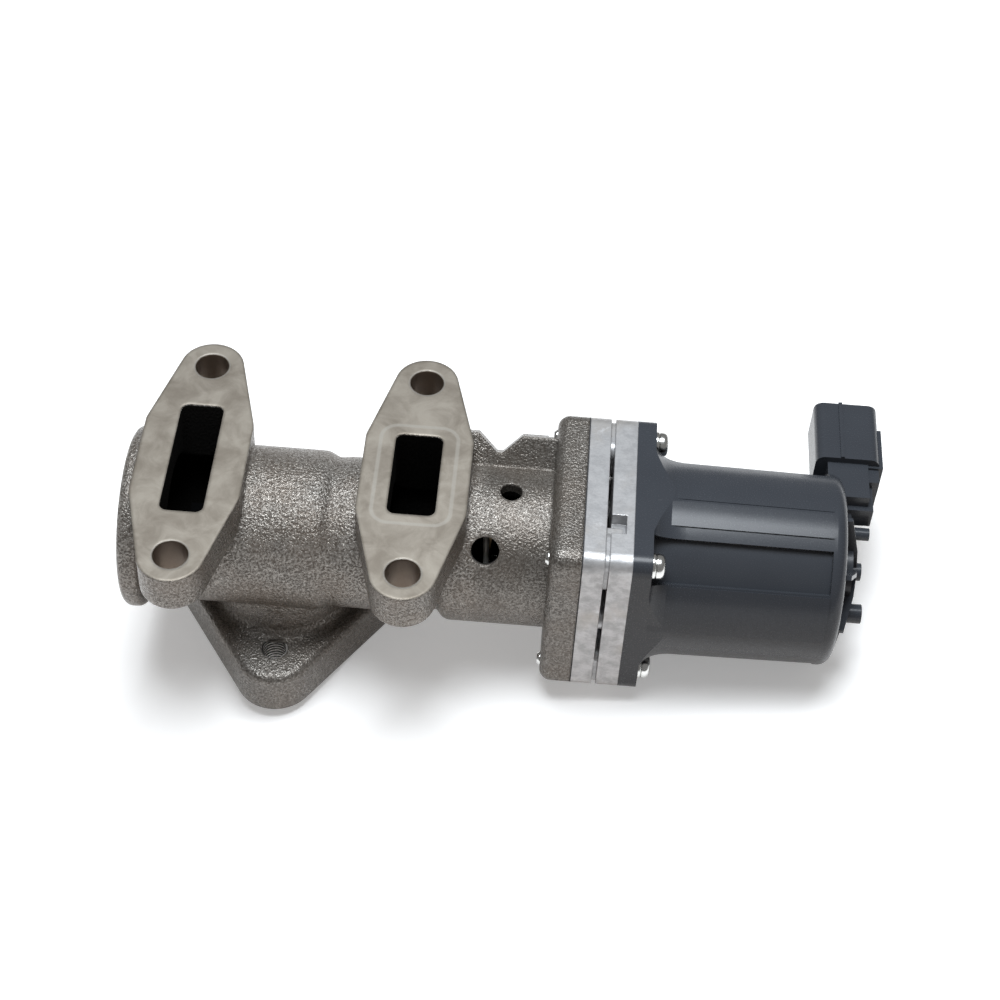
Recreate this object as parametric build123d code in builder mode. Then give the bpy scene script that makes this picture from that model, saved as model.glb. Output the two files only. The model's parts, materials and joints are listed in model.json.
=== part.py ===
from build123d import *
import os
from math import cos, radians, sin, sqrt

# Electrically driven double poppet valve for exhaust gas. X runs along the valve axis towards the
# motor, Z is up, and the origin is the centre of the inlet port on the inlet flange's face.
# All sizes are in millimetres and all angles in degrees.

# Fits: radial clearances of what slides or turns, of what is pressed or laid in, and of free space
running_fit = 0.05
seated_fit = 0.02
screw_clearance = 0.25
free_gap = 0.3
closed_gap = 0.15  # between a poppet's cone and its seat when the valve is closed

# Outlet ports and their flanges
axis_height = 50.0  # valve axis above the inlet face
outlet_height = 33.4  # outlet faces above the valve axis
port_1_x = -30.0
port_pitch = 77.2
port_1_width = 15.0
port_1_length = 49.5
port_1_foot_side = 3.5  # how far inside the valve bore the passage's foot starts
port_2_width = 16.6
port_2_length = 36.7
port_corner_r = 2.8
outlet_flange_t = 16.5
outlet_under_r = 3.0
outlet_bolt_pitch = 88.0
outlet_bolt_hole_r = 6.0
outlet_end_r = 11.3
outlet_half_width = 18.9
outlet_waist = 48.0  # length of the flange's widest part
outlet_waist_r = 8.0
neck_1_width = 30.0
neck_1_length = 55.0
neck_2_width = 31.0
neck_2_length = 52.0
neck_2_spread = 9.0  # how much wider to the left it is at the valve axis
neck_corner_r = 9.0

# Seats and poppets, which set the bores of the housing
seat_2_bore_r = 14.0
seat_2_wall = 7.0
seat_t = 6.0
seat_cone = 2.2
seat_shoulder = 2.0
seat_margin = 0.5  # between the first outlet's passage and the first seat
seat_spacing = 38.0
pass_gap = 1.5  # lets the right poppet through the left seat
pass_seat_gap = 0.5  # lets the right seat through the inlet chamber
poppet_overlap = 1.5
poppet_rim_t = 3.0
poppet_nose = 1.2
poppet_hub_r = 7.0
poppet_hub_t = 2.5
stem_r = 4.0
stem_thread_r = 3.2
spacer_r = 5.6
nut_t = 5.5
nut_flats = 11.0
stem_thread_out = 1.5

# Barrel of the housing, from its left end
end_disc_reach = 23.3  # from the first outlet's centre to the left end
end_disc_t = 7.3
end_disc_wall = 6.7
end_disc_rim_r = 2.8
end_disc_root_r = 1.6
plug_step = 2.0
plug_depth = 6.0
plug_t = 1.8
plug_dish = 2.2
barrel_1_wall = 4.8
saddle_wall = 5.4
chamber_wall = 7.8
waist_wall = 6.0
barrel_2_wall = 6.3
shoulder_back = 34.0  # these five are counted from the second outlet's centre
saddle_back = 28.4
chamber_back = 23.0
chamber_ahead = 4.0
waist_ahead = 9.8
barrel_2_ahead = 15.0
motor_flange_reach = 47.9  # from the second outlet's centre to the square flange
chamber_2_margin = 1.0
guide_wall_t = 9.0
guide_boss_length = 8.0
vent_chamber_r = 22.0

# Square stack between the housing and the motor
square_side = 70.0
square_corner_r = 5.5
motor_flange_t = 11.0
motor_flange_edge_r = 4.2
gasket_t = 0.4
adapter_t = 7.3
air_gap = 1.6
base_t = 7.8
cover_flange_t = 6.6
screw_spread = 56.0  # side of the square that the four screws make
screw_r = 2.5
screw_head_r = 4.3
screw_head_h = 3.2
washer_r = 4.45
washer_t = 1.4
screw_tip_out = 1.2
screw_tip_room = 3.0  # cut into the rib behind a screw's tip

# Rib behind the vented barrel, with its V gap, and the two vents
rib_tilt = 41.2  # towards the back, from straight up
rib_reach = 39.4
rib_t = 9.0
rib_ahead = 15.8  # from the second outlet's centre
rib_gap_ahead = 28.1
rib_gap_width = 15.5
rib_gap_reach = 33.0
rib_gap_flat = 2.0
vent_1_r = 4.9
vent_1_ahead = 26.0
vent_1_tilt = 46.0  # towards the front, from straight up
vent_2_r = 3.8
vent_2_ahead = 33.4

# Inlet flange and its neck
inlet_r = 19.0
inlet_depth = 14.0
throat_r = 14.0
throat_top = 30.0
inlet_flange_t = 17.5
inlet_flange_edge_r = 3.0
inlet_corner_r = 14.5
inlet_front_bolt_y = -29.5
inlet_back_bolt_y = 16.5
inlet_back_bolt_x = 31.5
inlet_thread_r = 4.25
inlet_chamfer = 0.75
inlet_wall = 4.6
inlet_neck_fillet = 3.8
inlet_web_t = 8.0
inlet_web_reach = 36.0

# Stem guide and return spring
guide_wall = 3.0
guide_boss_wall = 3.0
guide_out = 1.2
scraper_t = 2.2
spring_seat_t = 1.4
spring_seat_r = 19.0
spring_r = 15.0  # to the middle of the wire
wire_side = 2.2
spring_turns = 4.5
contact_back = 2.0  # where the stem meets the screw shaft, before the adapter plate
stem_tail = 3.0
retainer_rim_r = 17.0
retainer_rim_t = 1.8
retainer_hub_l = 6.5
retainer_hub_r = 9.0
collet_t_small = 1.4
collet_t_large = 2.8
collet_slit = 0.8
groove_depth = 0.5
groove_w = 1.6

# Adapter plate and base plate
adapter_bore_r = 6.0
shaft_seal_r = 9.0
shaft_seal_t = 3.2
seal_lip = 1.0
pad_side = 16.0
pad_inset = 1.3
dowel_r = 2.0
dowel_length = 9.0
dowel_spread = 59.0
dowel_pad_r = 4.0
notch_w = 8.2
notch_centre_y = -16.6
notch_x = 5.1
notch_z = 5.0
lug_w = 3.0
lug_reach = 4.0
lug_h = 2.6
lug_side = 2.3
bush_wall = 3.8
bush_flange_wall = 5.8
bush_flange_t = 1.5
front_housing_wall = 4.5
front_housing_length = 9.0
cover_seal_r = 32.4
cover_seal_w = 2.0
cover_seal_t = 1.5

# Screw shaft and rotor
shaft_r = 4.2
shaft_flat = 3.4
shaft_flat_reach = 2.8  # from the base plate's left face to where the flats start
shaft_thread_r = 5.0
shaft_thread_ahead = 13.5  # from the base plate's right face
shaft_thread_l = 42.0
shaft_nose = 1.2
shaft_contact = 0.2
sleeve_relief = 0.9
front_journal_wall = 2.6
rear_journal_wall = 1.6
ball_space = 6.5  # between a bearing's bore and its outside
inner_ring_wall = 2.2
bearing_t = 7.0
bearing_chamfer = 0.6
journal_shoulder = 1.4
bearing_spring_t = 0.5
bearing_spring_h = 1.3
magnet_outer_r = 16.5
magnet_seat = 3.0
magnet_overhang = 1.0
magnet_gap = 0.8
sensor_magnet_r = 13.0
sensor_magnet_t = 3.0

# Stator and sensor board
stator_gap = 16.0  # from the base plate to the stator's stack
stack_length = 26.0
yoke_t = 4.2
tooth_count = 12
tooth_w = 4.0
tooth_tip_t = 1.8
tooth_tip_arc = 22.0
coil_w = 2.3
coil_end = 5.0
coil_clear = 0.4
insulator_h = 4.5
insulator_wall = 3.2
board_gap = 6.5  # from the stack to the sensor board
board_t = 1.6
board_bore_r = 14.0
board_step = 1.5
bearing_2_gap = 3.2  # from the sensor board to the rear bearing

# Cover with its pads, recesses and ramps
cover_length = 66.7  # from the cover flange's face to the end plane
cover_r_root = 34.7
cover_r_end = 33.8
cover_end_fillet = 4.0
cover_wall = 3.2
cover_end_t = 3.0
ramp_rise = 4.8  # the ramp is kept inside the square, so it shows as webs at the corners
ramp_length = 11.0
ramp_knee = 2.8
pad_ahead = 1.0
pad_end_back = 5.2
pads = ((-7.2, 11.7, 0.25), (6.7, 15.3, 0.6), (56.5, 31.0, 0.6), (186.7, 15.3, 0.6))
recess_start = 29.5
recess_arc = 26.0
recess_drop = 2.2
recess_count = 4
head_pocket_r = 5.6
rear_housing_wall = 3.0
rear_stop = 3.0

# End of the cover: posts, hub, fins, lead box, peg and connector. Heights here are counted from the
# cover's end plane, and places from the valve axis.
hub_r = 12.0
hub_wall = 1.8
hub_h = 5.0
post_r = 3.2
post_h = 9.3
fin_count = 8
fin_t = 1.5
fin_post_h = 8.1
fin_hub_h = 6.4
fin_rim_h = 2.4
fin_reach = 27.5
stub_r = 2.3
stub_h = 11.5
stub_y = 11.0
stub_z = 7.8
lead_box_h = 11.8
lead_box_y = (14.0, 27.0)
lead_box_z = (9.0, 17.0)
lead_pocket_y = 4.4
lead_pocket_z = 5.0
lead_pocket_pitch = 5.8
lead_pocket_depth = 8.0
peg_r = 3.45
peg_h = 9.6
peg_y = -15.0
peg_z = -5.0
shroud_width = 22.8
shroud_length = 26.9
shroud_height = 20.0
shroud_corner_r = 3.5
shroud_wall = 1.6
shroud_back_t = 3.2
shroud_y = 32.0
shroud_top = 24.0
shroud_ahead = 2.7
key_w = 1.3
key_h = 0.8
key_offset = 2.2
neck_w = 14.4
neck_y = 16.0
neck_drop = 2.4
neck_h = 15.0
rail_t = 1.3
rail_y = (31.0, 49.7)
rail_z = (6.5, 21.0)
step_inset = 0.2
step_y = 25.0
step_z = (5.6, 20.0)
pin_side = 1.0
pin_pitch_x = 4.2
pin_pitch_z = 7.0
pin_length = 16.0
pin_root = 2.0
pins_per_row = 4

# Radii of the housing, from the seats outwards
poppet_2_r = seat_2_bore_r + poppet_overlap
seat_1_bore_r = poppet_2_r + pass_gap
seat_2_outer_r = seat_2_bore_r + seat_2_wall
chamber_2_r = seat_2_outer_r - seat_shoulder
inlet_chamber_r = seat_2_outer_r + pass_seat_gap
assembly_bore_r = inlet_chamber_r + seat_shoulder
plug_bore_r = assembly_bore_r + plug_step
end_disc_r = plug_bore_r + end_disc_wall
barrel_1_r = assembly_bore_r + barrel_1_wall
saddle_r = seat_2_outer_r + saddle_wall
chamber_barrel_r = chamber_2_r + chamber_wall
waist_r = chamber_2_r + waist_wall
barrel_2_r = vent_chamber_r + barrel_2_wall
guide_r = stem_r + guide_wall
guide_boss_r = guide_r + guide_boss_wall
inlet_neck_r = inlet_r + inlet_wall

# Radii of the motor, from the screw shaft outwards
bush_r = shaft_r + bush_wall
bush_flange_r = shaft_r + bush_flange_wall
sleeve_thread_r = shaft_thread_r + running_fit
sleeve_bore_r = shaft_thread_r + sleeve_relief
front_journal_r = sleeve_bore_r + front_journal_wall
rear_journal_r = sleeve_bore_r + rear_journal_wall
bearing_1_r = front_journal_r + ball_space
bearing_2_r = rear_journal_r + ball_space
front_housing_r = bearing_1_r + front_housing_wall
rear_housing_r = bearing_2_r + rear_housing_wall
magnet_inner_r = front_journal_r + magnet_seat
cover_inner_r = cover_r_end - cover_wall
stator_r = cover_inner_r - seated_fit
yoke_inner_r = stator_r - yoke_t
stator_bore_r = magnet_outer_r + magnet_gap
tooth_root_r = stator_bore_r + tooth_tip_t

# Places along the valve axis
port_2_x = port_1_x + port_pitch
disc_x0 = port_1_x - end_disc_reach
disc_x1 = disc_x0 + end_disc_t
motor_flange_x0 = port_2_x + motor_flange_reach
motor_flange_x1 = motor_flange_x0 + motor_flange_t
adapter_x0 = motor_flange_x1 + gasket_t
adapter_x1 = adapter_x0 + adapter_t
base_x0 = adapter_x1 + air_gap
base_x1 = base_x0 + base_t
cover_face_x = base_x1 + cover_flange_t
cover_end_x = cover_face_x + cover_length
seat_1_x0 = port_1_x + port_1_width / 2 + seat_margin
seat_1_x1 = seat_1_x0 + seat_t
seat_2_x0 = seat_1_x0 + seat_spacing
seat_2_x1 = seat_2_x0 + seat_t
chamber_2_x1 = port_2_x + port_2_width / 2 + chamber_2_margin
vent_chamber_x0 = chamber_2_x1 + guide_wall_t
guide_boss_x1 = vent_chamber_x0 + guide_boss_length
contact_x = adapter_x0 - contact_back
retainer_x1 = contact_x - stem_tail
retainer_x0 = retainer_x1 - retainer_hub_l
spring_x0 = vent_chamber_x0 + spring_seat_t
bearing_1_x1 = base_x1 + front_housing_length
bearing_1_x0 = bearing_1_x1 - bearing_t
stack_x0 = base_x1 + stator_gap
stack_x1 = stack_x0 + stack_length
board_x0 = stack_x1 + board_gap
board_x1 = board_x0 + board_t
end_wall_x = cover_end_x - cover_end_t
bearing_2_x0 = board_x1 + bearing_2_gap
bearing_2_x1 = bearing_2_x0 + bearing_t
bearing_spring_x1 = bearing_2_x1 + bearing_spring_h
magnet_x0 = stack_x0 - magnet_overhang
magnet_x1 = stack_x1 + magnet_overhang
thread_x0 = base_x1 + shaft_thread_ahead
thread_x1 = thread_x0 + shaft_thread_l
flats_x0 = base_x0 + shaft_flat_reach

# Heights above the inlet face
outlet_z = axis_height + outlet_height
plate_z = outlet_z - outlet_flange_t

# Planes: half sections hold the valve axis, and cross sections face the motor
valve_axis = Axis((0, 0, axis_height), (1, 0, 0))
half_section = Plane(origin=(0, 0, axis_height), x_dir=(1, 0, 0), z_dir=(0, -1, 0))


def cross_section(x):
    """Plane across the valve axis at x, with its own x along Y and its own y along Z."""
    return Plane(origin=(x, 0, axis_height), x_dir=(0, 1, 0), z_dir=(1, 0, 0))


def tilted_section(angle):
    """Half section turned about the valve axis, by an angle from straight up towards the front."""
    a = radians(angle)
    return Plane(origin=(0, 0, axis_height), x_dir=(1, 0, 0), z_dir=(0, -cos(a), -sin(a)))


def turn(*points, mode=Mode.ADD, plane=half_section, arc=360):
    """Turns a half section, given by its (x, radius) corners, about the valve axis."""
    with BuildSketch(plane) as profile:
        with BuildLine():
            Polyline(*points, close=True)
        make_face()
    revolve(profile.sketch, axis=valve_axis, revolution_arc=arc, mode=mode)


def tube(x0, x1, outer_r, inner_r=0, mode=Mode.ADD):
    """Plain tube or disc about the valve axis."""
    turn((x0, inner_r), (x1, inner_r), (x1, outer_r), (x0, outer_r), mode=mode)


def square_plate(x0, thickness):
    """Plate with the outline that the whole square stack shares."""
    with BuildSketch(cross_section(x0)) as outline:
        RectangleRounded(square_side, square_side, square_corner_r)
    extrude(outline.sketch, amount=thickness)


def corner_holes(x0, x1, radius, mode=Mode.SUBTRACT):
    """Round holes, or posts, on the axes of the four stack screws."""
    with BuildSketch(cross_section(x0)) as holes:
        with GridLocations(screw_spread, screw_spread, 2, 2):
            Circle(radius)
    extrude(holes.sketch, amount=x1 - x0, mode=mode)


def block(x, y, z, mode=Mode.ADD):
    """Box between pairs of values, where z is counted from the valve axis."""
    with BuildSketch(Plane.XY.offset(axis_height + z[0])) as base:
        with Locations(((x[0] + x[1]) / 2, (y[0] + y[1]) / 2)):
            Rectangle(x[1] - x[0], y[1] - y[0])
    extrude(base.sketch, amount=z[1] - z[0], mode=mode)


def circle_hull(circles):
    """Adds the hull of circles, given as (x, y, radius), to the sketch that is open."""
    with BuildLine() as rims:
        for x, y, radius in circles:
            CenterArc((x, y), radius, 0, 360)
    make_hull(rims.edges())


def outlet_outline(x):
    """Corner circles of an outlet flange whose port is centred at x."""
    side = outlet_half_width - outlet_waist_r
    middle = outlet_waist / 2 - outlet_waist_r
    ends = [(x, sign * outlet_bolt_pitch / 2, outlet_end_r) for sign in (-1, 1)]
    sides = [(x + i * side, j * middle, outlet_waist_r) for i in (-1, 1) for j in (-1, 1)]
    return ends + sides


# Valve housing: the flanges come first, so that their edges are rounded while they are plain
inlet_bolts = [
    (0, inlet_front_bolt_y),
    (-inlet_back_bolt_x, inlet_back_bolt_y),
    (inlet_back_bolt_x, inlet_back_bolt_y),
]

with BuildPart() as valve_housing:
    for port_x in (port_1_x, port_2_x):
        with BuildSketch(Plane.XY.offset(plate_z)):
            circle_hull(outlet_outline(port_x))
        extrude(amount=outlet_flange_t)
    fillet(valve_housing.faces().filter_by(Plane.XY).group_by(Axis.Z)[0].edges(), outlet_under_r)

    with BuildSketch():
        circle_hull([(x, y, inlet_corner_r) for x, y in inlet_bolts])
    extrude(amount=inlet_flange_t)
    inlet_top = valve_housing.faces().filter_by(Plane.XY).group_by(Axis.Z)[1]
    fillet(inlet_top.edges(), inlet_flange_edge_r)
    with BuildSketch(Plane.XY.offset(inlet_flange_t)):
        Circle(inlet_neck_r)
    extrude(amount=axis_height - inlet_flange_t)
    neck_root = valve_housing.edges().filter_by(GeomType.CIRCLE).group_by(SortBy.RADIUS)[-1]
    fillet(neck_root.sort_by(Axis.Z)[0], inlet_neck_fillet)

    square_plate(motor_flange_x0, motor_flange_t)
    flange_left = valve_housing.faces().filter_by(Plane.YZ).group_by(Axis.X)[-2]
    fillet(flange_left.edges(), motor_flange_edge_r)

    # Barrel, with its end disc, the saddle at the right seat and the waist before the vents
    with BuildSketch(half_section):
        with BuildLine():
            FilletPolyline(
                (disc_x0, 0),
                (disc_x0, end_disc_r),
                (disc_x1, end_disc_r),
                (disc_x1, barrel_1_r),
                (port_2_x - shoulder_back, barrel_1_r),
                radius=(end_disc_rim_r, end_disc_rim_r, end_disc_root_r),
            )
            Spline(
                (port_2_x - shoulder_back, barrel_1_r),
                (port_2_x - saddle_back, saddle_r),
                (port_2_x - chamber_back, chamber_barrel_r),
                tangents=((1, 0), (1, 0)),
            )
            Line((port_2_x - chamber_back, chamber_barrel_r), (port_2_x + chamber_ahead, chamber_barrel_r))
            Spline(
                (port_2_x + chamber_ahead, chamber_barrel_r),
                (port_2_x + waist_ahead, waist_r),
                (port_2_x + barrel_2_ahead, barrel_2_r),
                tangents=((1, 0), (1, 0)),
            )
            Polyline(
                (port_2_x + barrel_2_ahead, barrel_2_r),
                (motor_flange_x1, barrel_2_r),
                (motor_flange_x1, 0),
                (disc_x0, 0),
            )
        make_face()
    revolve(axis=valve_axis)

    # Necks between the barrel and the outlet flanges, and webs on the inlet flange
    for port_x, width, length, spread in (
        (port_1_x, neck_1_width, neck_1_length, 0),
        (port_2_x, neck_2_width, neck_2_length, neck_2_spread),
    ):
        with BuildSketch(Plane.XY.offset(axis_height)):
            with Locations((port_x - spread / 2, 0)):
                RectangleRounded(width + spread, length, neck_corner_r)
        with BuildSketch(Plane.XY.offset(plate_z)):
            with Locations((port_x, 0)):
                RectangleRounded(width, length, neck_corner_r)
        loft()
    web_y = (-inlet_web_t / 2, inlet_web_t / 2)
    web_z = (inlet_flange_t - axis_height, -assembly_bore_r)
    block((-inlet_web_reach, inlet_web_reach), web_y, web_z)

    # Rib behind the vented barrel
    gap_x = port_2_x + rib_gap_ahead
    with BuildSketch(tilted_section(-rib_tilt)):
        with BuildLine():
            Polyline(
                (port_2_x + rib_ahead, vent_chamber_r + free_gap),
                (port_2_x + rib_ahead, rib_reach),
                (gap_x - rib_gap_width / 2, rib_reach),
                (gap_x - rib_gap_flat / 2, rib_gap_reach),
                (gap_x + rib_gap_flat / 2, rib_gap_reach),
                (gap_x + rib_gap_width / 2, rib_reach),
                (motor_flange_x0 + motor_flange_edge_r, rib_reach),
                (motor_flange_x0 + motor_flange_edge_r, vent_chamber_r + free_gap),
                close=True,
            )
        make_face()
    extrude(amount=rib_t / 2, both=True)

    # Bores along the valve axis, from the left
    tube(disc_x0, disc_x0 + plug_depth, plug_bore_r, mode=Mode.SUBTRACT)
    tube(disc_x0, seat_1_x1, assembly_bore_r, mode=Mode.SUBTRACT)
    tube(seat_1_x1, seat_2_x0, inlet_chamber_r, mode=Mode.SUBTRACT)
    tube(seat_2_x0, seat_2_x1, seat_2_outer_r, mode=Mode.SUBTRACT)
    tube(seat_2_x1, chamber_2_x1, chamber_2_r, mode=Mode.SUBTRACT)
    tube(chamber_2_x1, motor_flange_x1, guide_r, mode=Mode.SUBTRACT)
    turn(
        (vent_chamber_x0, guide_boss_r),
        (guide_boss_x1, guide_boss_r),
        (guide_boss_x1, 0),
        (motor_flange_x1, 0),
        (motor_flange_x1, vent_chamber_r),
        (vent_chamber_x0, vent_chamber_r),
        mode=Mode.SUBTRACT,
    )

    # Outlet passages: the first narrows towards the bore, the second goes straight in
    foot_half = assembly_bore_r - port_1_foot_side
    foot_z = axis_height + sqrt(assembly_bore_r**2 - foot_half**2)
    for z, length in ((outlet_z, port_1_length), (foot_z, 2 * foot_half)):
        with BuildSketch(Plane.XY.offset(z)):
            with Locations((port_1_x, 0)):
                RectangleRounded(port_1_width, length, port_corner_r)
    loft(mode=Mode.SUBTRACT)
    with BuildSketch(Plane.XY.offset(outlet_z)):
        with Locations((port_2_x, 0)):
            RectangleRounded(port_2_width, port_2_length, port_corner_r)
    extrude(amount=-outlet_height, mode=Mode.SUBTRACT)

    # Inlet port, which narrows between the two seats
    with BuildSketch():
        Circle(inlet_r)
    extrude(amount=inlet_depth, mode=Mode.SUBTRACT)
    with BuildSketch(Plane.XY.offset(inlet_depth)):
        Circle(inlet_r)
    with BuildSketch(Plane.XY.offset(throat_top)):
        Circle(throat_r)
    loft(mode=Mode.SUBTRACT)

    # Holes for bolts, and the vents
    with BuildSketch(Plane.XY.offset(outlet_z)):
        with Locations((port_1_x, 0), (port_2_x, 0)):
            with GridLocations(0, outlet_bolt_pitch, 1, 2):
                Circle(outlet_bolt_hole_r)
    extrude(amount=-outlet_flange_t, mode=Mode.SUBTRACT)
    with BuildSketch():
        with Locations(*inlet_bolts):
            Circle(inlet_thread_r)
    extrude(amount=inlet_flange_t, mode=Mode.SUBTRACT)
    with BuildSketch(Plane.XY.offset(inlet_flange_t)):
        with Locations(*inlet_bolts):
            Circle(inlet_thread_r + inlet_chamfer)
    extrude(amount=-inlet_chamfer, taper=45, mode=Mode.SUBTRACT)
    corner_holes(motor_flange_x0 - screw_tip_room, motor_flange_x1, screw_r + seated_fit)
    for ahead, radius, angle in (
        (vent_1_ahead, vent_1_r, vent_1_tilt),
        (vent_2_ahead, vent_2_r, 0),
    ):
        a = radians(angle)
        way_out = Plane(origin=(port_2_x + ahead, 0, axis_height), z_dir=(0, -sin(a), cos(a)))
        with BuildSketch(way_out.offset(guide_boss_r + free_gap)):
            Circle(radius)
        extrude(amount=barrel_2_r, mode=Mode.SUBTRACT)

# Plug pressed into the left end
with BuildPart() as end_plug:
    plug_r = plug_bore_r - seated_fit
    turn(
        (disc_x0 + plug_dish, 0),
        (disc_x0 + plug_dish, assembly_bore_r - plug_step),
        (disc_x0 + free_gap, plug_r - plug_t),
        (disc_x0 + free_gap, plug_r),
        (disc_x0 + plug_depth, plug_r),
        (disc_x0 + plug_depth, plug_r - plug_t),
        (disc_x0 + plug_dish + plug_t, assembly_bore_r - plug_step),
        (disc_x0 + plug_dish + plug_t, 0),
    )

# Seat rings, with the cone that each poppet closes on
with BuildPart() as left_valve_seat:
    turn(
        (seat_1_x0, seat_1_bore_r + seat_cone),
        (seat_1_x0 + seat_cone, seat_1_bore_r),
        (seat_1_x1, seat_1_bore_r),
        (seat_1_x1, assembly_bore_r - seated_fit),
        (seat_1_x0, assembly_bore_r - seated_fit),
    )

with BuildPart() as right_valve_seat:
    turn(
        (seat_2_x0, seat_2_bore_r + seat_cone),
        (seat_2_x0 + seat_cone, seat_2_bore_r),
        (seat_2_x1, seat_2_bore_r),
        (seat_2_x1, seat_2_outer_r - seated_fit),
        (seat_2_x0, seat_2_outer_r - seated_fit),
    )


# Poppets: each closes to the right, with its cone just clear of the seat's
def poppet_places(seat_x0):
    """Back of the hub, back of the rim, end of the rim and nose of the poppet on one seat."""
    rim_end = seat_x0 + seat_cone - poppet_overlap - closed_gap * sqrt(2)
    rim_start = rim_end - poppet_rim_t
    return rim_start - poppet_hub_t, rim_start, rim_end, rim_end + poppet_overlap + poppet_nose


def poppet(seat_x0, bore_r):
    """Poppet for one seat: hub, rim and cone, with a bore for the stem's thread."""
    hub_x, rim_x, cone_x, nose_x = poppet_places(seat_x0)
    turn(
        (hub_x, stem_thread_r + seated_fit),
        (hub_x, poppet_hub_r),
        (rim_x, poppet_hub_r + poppet_nose),
        (rim_x, bore_r + poppet_overlap),
        (cone_x, bore_r + poppet_overlap),
        (nose_x, bore_r - poppet_nose),
        (nose_x, stem_thread_r + seated_fit),
    )


with BuildPart() as left_poppet:
    poppet(seat_1_x0, seat_1_bore_r)

with BuildPart() as right_poppet:
    poppet(seat_2_x0, seat_2_bore_r)

poppet_1_x0, *_, poppet_1_x1 = poppet_places(seat_1_x0)
poppet_2_x0, *_, poppet_2_x1 = poppet_places(seat_2_x0)

with BuildPart() as poppet_spacer:
    tube(poppet_1_x1, poppet_2_x0, spacer_r, stem_thread_r + seated_fit)

with BuildPart() as poppet_nut:
    with BuildSketch(cross_section(poppet_1_x0 - nut_t)):
        RegularPolygon(nut_flats / 2, 6, major_radius=False)
        Circle(stem_thread_r + seated_fit, mode=Mode.SUBTRACT)
    extrude(amount=nut_t)

groove_x0 = retainer_x0 + (retainer_hub_l - groove_w) / 2
with BuildPart() as valve_stem:
    turn(
        (poppet_1_x0 - nut_t - stem_thread_out, 0),
        (poppet_1_x0 - nut_t - stem_thread_out, stem_thread_r),
        (poppet_2_x1, stem_thread_r),
        (poppet_2_x1, stem_r),
        (groove_x0, stem_r),
        (groove_x0, stem_r - groove_depth),
        (groove_x0 + groove_w, stem_r - groove_depth),
        (groove_x0 + groove_w, stem_r),
        (contact_x - shaft_nose, stem_r),
        (contact_x, stem_r - shaft_nose),
        (contact_x, 0),
    )

# Guide bush, scraper and spring
with BuildPart() as stem_guide:
    tube(
        chamber_2_x1 + scraper_t,
        guide_boss_x1 + guide_out,
        guide_r - seated_fit,
        stem_r + running_fit,
    )

with BuildPart() as stem_scraper:
    turn(
        (chamber_2_x1, stem_r + running_fit),
        (chamber_2_x1 + scraper_t, stem_r + scraper_t / 2),
        (chamber_2_x1 + scraper_t, guide_r - seated_fit),
        (chamber_2_x1, guide_r - seated_fit),
    )

with BuildPart() as spring_seat:
    tube(vent_chamber_x0, spring_x0, spring_seat_r, guide_boss_r + seated_fit)

with BuildPart() as return_spring:
    coil_x0 = spring_x0 + wire_side / 2
    coil_length = retainer_x0 - wire_side / 2 - coil_x0
    with BuildLine() as coil:
        Helix(
            coil_length / spring_turns,
            coil_length,
            spring_r,
            center=(coil_x0, 0, axis_height),
            direction=(1, 0, 0),
        )
    with BuildSketch(Plane(origin=coil.line @ 0, x_dir=(1, 0, 0), z_dir=coil.line % 0)):
        Rectangle(wire_side, wire_side)
    sweep(is_frenet=True)

# Retainer on the stem, held by two half collets in the stem's groove
with BuildPart() as spring_retainer:
    turn(
        (retainer_x0, stem_r + collet_t_small + seated_fit),
        (retainer_x0, retainer_rim_r),
        (retainer_x0 + retainer_rim_t, retainer_rim_r),
        (retainer_x0 + retainer_rim_t, retainer_hub_r + retainer_rim_t),
        (retainer_x0 + 2 * retainer_rim_t, retainer_hub_r),
        (retainer_x1, retainer_hub_r),
        (retainer_x1, stem_r + collet_t_large + seated_fit),
    )

with BuildPart() as retainer_collets:
    turn(
        (retainer_x0, stem_r + seated_fit),
        (retainer_x0, stem_r + collet_t_small),
        (retainer_x1, stem_r + collet_t_large),
        (retainer_x1, stem_r + seated_fit),
        (groove_x0 + groove_w - seated_fit, stem_r + seated_fit),
        (groove_x0 + groove_w - seated_fit, stem_r - groove_depth + seated_fit),
        (groove_x0 + seated_fit, stem_r - groove_depth + seated_fit),
        (groove_x0 + seated_fit, stem_r + seated_fit),
    )
    slit = (-collet_slit / 2, collet_slit / 2)
    block((retainer_x0, retainer_x1), slit, (-retainer_hub_r, retainer_hub_r), mode=Mode.SUBTRACT)

# Gasket, adapter plate and base plate
with BuildPart() as housing_gasket:
    square_plate(motor_flange_x1, gasket_t)
    tube(motor_flange_x1, adapter_x0, vent_chamber_r + free_gap, mode=Mode.SUBTRACT)
    corner_holes(motor_flange_x1, adapter_x0, screw_r + screw_clearance)

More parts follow.
